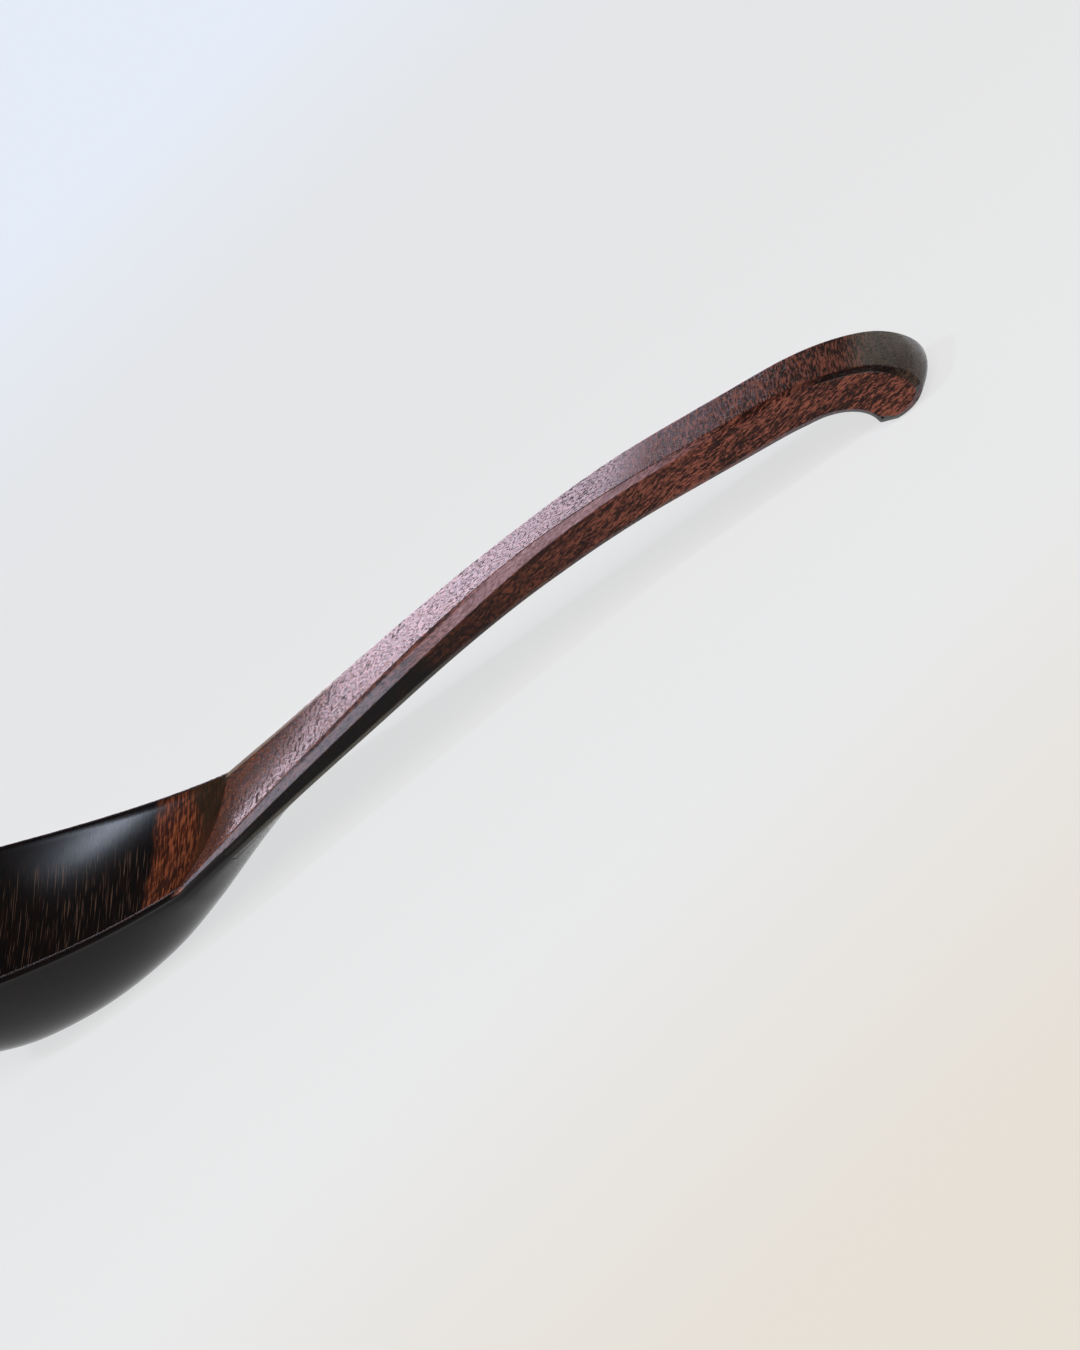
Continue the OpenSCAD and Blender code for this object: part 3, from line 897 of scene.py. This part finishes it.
# Painted reflection: olive-grey on the lower chamfers of the neck, broken by the grain.
low_edge_reflection = lower_edge * step(x, -22, -10) * at_neck * sheen_break
# Painted sheen on the upper chamfers of the mid handle, mauve-pink like the sheen on the top, broken by the
# grain.
painted_sheen_chamfer = upper_edge * step(x, 14, 27) * (1 - step(x, 48, 70)) * (1 - red_stripe)
mauve_share = step(grain + layer * 0.3, -0.35, 0.3)
# Painted reflection: a tan strip along the land at the far edge of the neck.
far_land_reflection = step(painted("far_land"), 0.15, 0.45) * step(x, -28, -27) * (1 - step(x, -8, 12))
# Painted reflection: a grey-teal facet below the lip, painted where the mesh has none.
lip_facet_reflection = step(2.5 - z - (x - 83.6) * 0.73, -0.1, 0.2) * step(x, 81, 83)
print("nodes with the worn places:", len(wood.node_tree.nodes))

# %% Wood: tints laid over its own colours, the last one on top
MOST, MUCH, LITTLE = 0.85, 0.8, 0.6
CREASE_SHADE_OLIVE, PALE_LINE, PORE_BLACK = (0.03, 0.021, 0.012, 1), (0.17, 0.095, 0.065, 1), (0.01, 0.007, 0.007, 1)
END_REFLECTION_DARK, END_REFLECTION_LIGHT = (0.028, 0.023, 0.018, 1), (0.07, 0.056, 0.044, 1)
SHEEN_GREY, LOW_REFLECTION_OLIVE, LIP_REFLECTION_GREY = (0.29, 0.29, 0.35, 1), (0.15, 0.135, 0.105, 1), (0.1, 0.115, 0.115, 1)
SHEEN_MAUVE_DARK, SHEEN_MAUVE_LIGHT = (0.25, 0.13, 0.13, 1), (0.62, 0.42, 0.49, 1)
TAN_REFLECTION = (0.46, 0.36, 0.27, 1)
STRIPE_DARK, STRIPE_LIGHT = (0.03, 0.012, 0.01, 1), (0.2, 0.06, 0.04, 1)
tints = (
    (crease_shade * MOST, CREASE_SHADE_OLIVE),
    (thin_line * black_lip * hollow * LITTLE, PALE_LINE),
    (end_grain * MOST, tint(light_share, END_REFLECTION_DARK, END_REFLECTION_LIGHT)),
    (most(open_pore * MOST, dark_edge * 0.95), PORE_BLACK),
    (edge_sheen * MUCH, SHEEN_GREY),
    (low_edge_reflection * MUCH, LOW_REFLECTION_OLIVE),
    (painted_sheen_chamfer * MUCH, tint(mauve_share, SHEEN_MAUVE_DARK, SHEEN_MAUVE_LIGHT)),
    (far_land_reflection * MOST, TAN_REFLECTION),
    (red_stripe * MOST, tint(light_share, STRIPE_DARK, STRIPE_LIGHT)),
    (lip_facet_reflection * MOST, LIP_REFLECTION_GREY),
)
for cover, shade in tints:
    colour = tint(cover, colour, shade)
print("tints over the wood:", len(tints))

# %% Wood: gloss and the feel of the grain
GLOSS, HOLLOW_DULLER, PORE_DULLER = 0.15, 0.06, 0.4
GRAIN_DEPTH = 0.00005
shader = wood.node_tree.nodes["Principled BSDF"]
plug(shader.inputs["Base Color"], colour)
gloss_top = flat_face * (step(x, 40, 52) * 0.03 + step(x, 62, 74) * 0.045)
dull = most(most(open_pore, red_stripe), stroke * flat_face * 0.9)
plug(shader.inputs["Roughness"], GLOSS - gloss_top + hollow * HOLLOW_DULLER + dull * PORE_DULLER)
shader.inputs["IOR"].default_value = 1.24
bump = wood.node_tree.nodes.new("ShaderNodeBump")
bump.inputs["Strength"].default_value = 0.3
bump.inputs["Distance"].default_value = GRAIN_DEPTH
relief = (grain * 0.8 - open_pore) * (1 - black * 0.7) * (1 - flat_face * 0.88)
plug(bump.inputs["Height"], relief)
wood.node_tree.links.new(bump.outputs["Normal"], shader.inputs["Normal"])
print("wood nodes:", len(wood.node_tree.nodes))

# %% Ride on the frame and stand for the solids
for piece, node in ((bowl, "bowl"), (handle, "handle"), (hook, "rim_hook")):
    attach(piece, "root")
    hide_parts(node)
    print(piece.name, "stands for", node)

# %% [markdown]
# ## Floor, light and camera
# The spoon lies on a plain pale floor. The floor glows to the camera and in reflections, so that it looks
# pale under lamps that are kept low for dark wood, and it still takes the shadow. A low window behind the
# spoon gives the sheen along the handle, and its leaning edges draw the slanting ends of that sheen. A small
# high window at the left gives the blue-grey glint in the hollow, a wide soft lamp beside the camera fills
# the near side, and a dim card at the far right shows as the olive-grey of the nose. It is dim above the
# horizon, because a bright dome would be simpler but greys dark wood.

# %% Floor
REACH, DROP = 8, 0.0002
FAR_X, FAR_Y = -0.375, 0.927
FLOOR_PALE, GLOW_NEAR = (0.86, 0.85, 0.83, 1), (0.92, 0.85, 0.74, 1)
GLOW_MIDDLE, GLOW_FAR = (0.98, 0.99, 1, 1), (0.78, 0.84, 0.94, 1)
GLOW_SHARE = 0.68
corners = [(REACH * a, REACH * b, -DROP) for a, b in ((-1, -1), (1, -1), (1, 1), (-1, 1))]
floor = add_mesh("floor", corners, [(0, 1, 2, 3)])
pale = bpy.data.materials.new("pale_floor")
pale.use_nodes = True
Field.tree = pale.node_tree
shade = pale.node_tree.nodes["Principled BSDF"]
shade.inputs["Base Color"].default_value = FLOOR_PALE
shade.inputs["Roughness"].default_value = 0.9
shade.inputs["Specular IOR Level"].default_value = 0.1
place = Field.tree.nodes.new("ShaderNodeTexCoord")
ground_plan = Field.tree.nodes.new("ShaderNodeSeparateXYZ")
Field.tree.links.new(place.outputs["Object"], ground_plan.inputs[0])
beyond = Field(ground_plan.outputs["X"]) * FAR_X + Field(ground_plan.outputs["Y"]) * FAR_Y
path = Field.tree.nodes.new("ShaderNodeLightPath")
seen = most(Field(path.outputs["Is Camera Ray"]), Field(path.outputs["Is Glossy Ray"]))
seen = most(seen, Field(path.outputs["Is Transmission Ray"]))
glow = Field.tree.nodes.new("ShaderNodeEmission")
far_off = step(beyond, 0.1, 1.2)
near_tint = tint(step(beyond, -0.22, -0.08), GLOW_NEAR, GLOW_MIDDLE)
plug(glow.inputs["Color"], tint(far_off, near_tint, GLOW_FAR))
both = Field.tree.nodes.new("ShaderNodeMixShader")
plug(both.inputs[0], seen * mix(GLOW_SHARE, 1, far_off))
Field.tree.links.new(shade.outputs[0], both.inputs[1])
Field.tree.links.new(glow.outputs[0], both.inputs[2])
Field.tree.links.new(both.outputs[0], Field.tree.nodes["Material Output"].inputs["Surface"])
floor.data.materials.append(pale)
print("floor: %d m wide" % (2 * REACH))

# %% Surroundings: pale at the horizon, dim above
HORIZON, ABOVE = (0.8, 0.81, 0.83, 1), (0.09, 0.085, 0.08, 1)
world = bpy.data.worlds.new("surroundings")
bpy.context.scene.world = world
world.use_nodes = True
Field.tree = world.node_tree
view = Field.tree.nodes.new("ShaderNodeTexCoord")
heights = Field.tree.nodes.new("ShaderNodeSeparateXYZ")
Field.tree.links.new(view.outputs["Generated"], heights.inputs[0])
sky = world.node_tree.nodes["Background"]
plug(sky.inputs["Color"], tint(step(Field(heights.outputs["Z"]), 0, 0.03), HORIZON, ABOVE))
sky.inputs["Strength"].default_value = 1
print("surroundings:", world.name)


# %% Lamps
def area_light(name, azimuth, elevation, away, size, glow, colour, roll=0):
    """A lamp that faces the spoon, in a direction in degrees from it, with a size and a distance in metres.

    Its glow is its brightness beside that of white paper.
    """
    a, e = math.radians(azimuth), math.radians(elevation)
    way = Vector((math.cos(e) * math.cos(a), math.cos(e) * math.sin(a), math.sin(e)))
    lamp = bpy.data.lights.new(name, "AREA")
    lamp.shape = "RECTANGLE"
    lamp.size, lamp.size_y = size
    lamp.energy = glow * math.pi * size[0] * size[1]
    lamp.color = colour
    holder = bpy.data.objects.new(name, lamp)
    holder.location = way * away
    holder.rotation_mode = "QUATERNION"
    holder.rotation_quaternion = (-way).to_track_quat("-Z", "Y") @ Quaternion((0, 0, 1), math.radians(roll))
    bpy.context.scene.collection.objects.link(holder)


area_light("low_window", 109.4, 7.3, away=2.5, size=(0.86, 1), glow=2.95, colour=(1, 0.82, 1), roll=24)
area_light("left_window", -136, 48.5, away=1.4, size=(0.15, 0.14), glow=62, colour=(0.74, 0.83, 1))
area_light("soft_front", -66, 36, away=1.3, size=(1.0, 0.7), glow=4.0, colour=(1, 0.97, 0.93))
area_light("back_card", 62, 9, away=2.0, size=(1.8, 1.05), glow=0.5, colour=(1, 0.97, 0.86))
print("lamps:", ", ".join(lamp.name for lamp in bpy.data.lights))

# %% Camera
eye = np.array([207.89, -378.2, 134.91])
right, upward = [0.81619, 0.12644, -0.56377], [0.45331, 0.46486, 0.76054]
ahead = [-0.35824, 0.87631, -0.3221]
lens = bpy.data.cameras.new("camera")
lens.lens, lens.sensor_width = 88, 36
lens.clip_start, lens.clip_end = 0.01, 50
camera = bpy.data.objects.new("camera", lens)
axes = np.array([right, upward, -np.array(ahead)]) @ TURN.T
stand = (eye @ TURN.T + SHIFT) * MM
pose = Matrix.Identity(4)
for i in range(3):
    for k in range(3):
        pose[i][k] = axes[k][i]
    pose[i][3] = stand[i]
camera.matrix_world = pose
bpy.context.scene.collection.objects.link(camera)
bpy.context.scene.camera = camera
bpy.context.scene.view_settings.view_transform = "Standard"
print("camera at", [round(float(v), 3) for v in stand])
